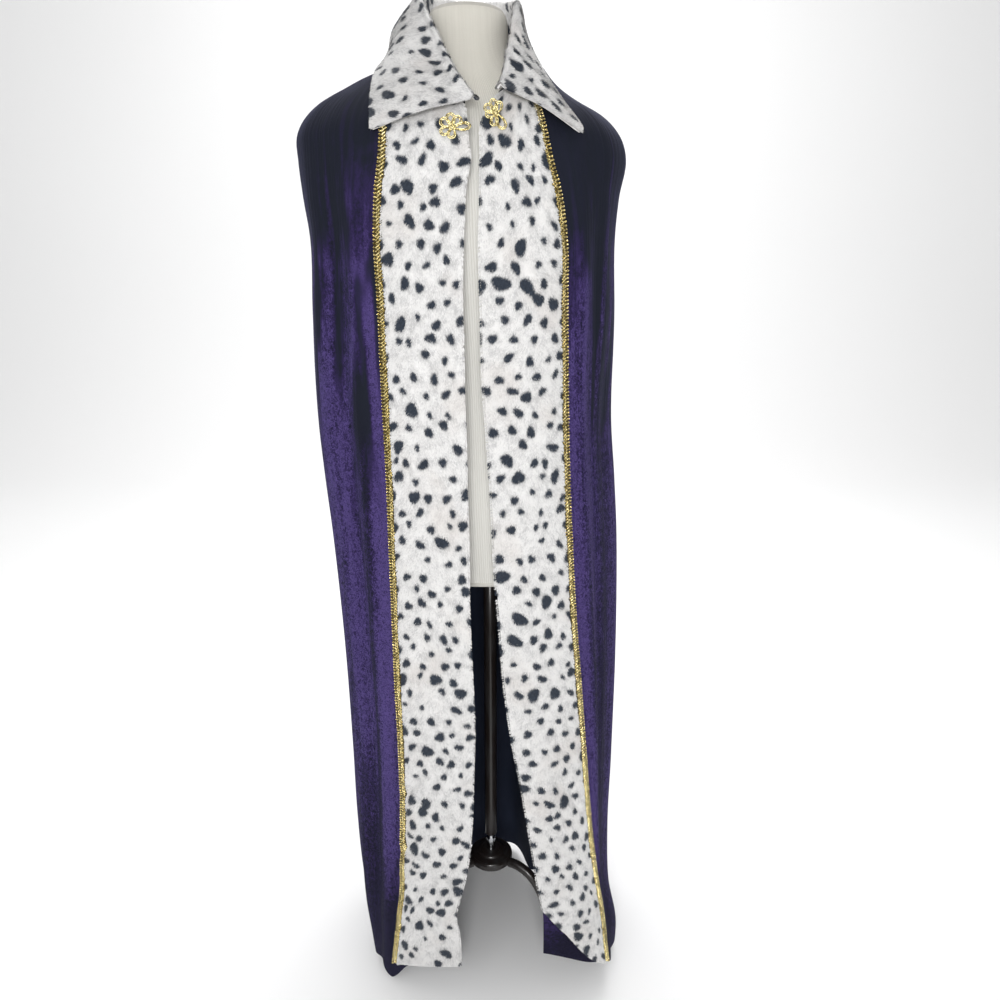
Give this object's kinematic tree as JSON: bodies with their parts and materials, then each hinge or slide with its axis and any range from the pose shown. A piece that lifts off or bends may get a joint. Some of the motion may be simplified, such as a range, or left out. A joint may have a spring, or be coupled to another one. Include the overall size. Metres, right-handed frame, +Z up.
{
  "type": "ermine coronation robe on a limbless dress form",
  "caption": "Long open velvet robe with spotted fur collar and front bands, gold braid and frog clasps, standing on a limbless dress form.",
  "frame": {"origin": "on the floor, below the middle of the whole part's bounding box", "axes": "+Z up, -Y out of the robe's open front, +X to the viewer's right in front of it"},
  "size_m": [0.5082, 0.3694, 1.5995],
  "materials": {
    "velvet": "crushed pile",
    "fur": "short soft pile with dark spots",
    "gold": "shiny metallic thread",
    "knit": "fine ribbed knit",
    "plate": "matt",
    "black": "gloss",
    "steel": "polished"
  },
  "bodies": {
    "root": {"back": "velvet", "front_left": "velvet", "front_right": "velvet", "band_left": "fur", "band_right": "fur", "collar": "fur", "braid_left": "gold", "braid_right": "gold", "frog_left": "gold", "frog_right": "gold", "torso": "knit", "base_plate": "plate", "pole": "black", "rod": "steel", "hub": "black", "leg_front_left": "black", "leg_front_right": "black", "leg_back": "black"}
  },
  "joints": []
}
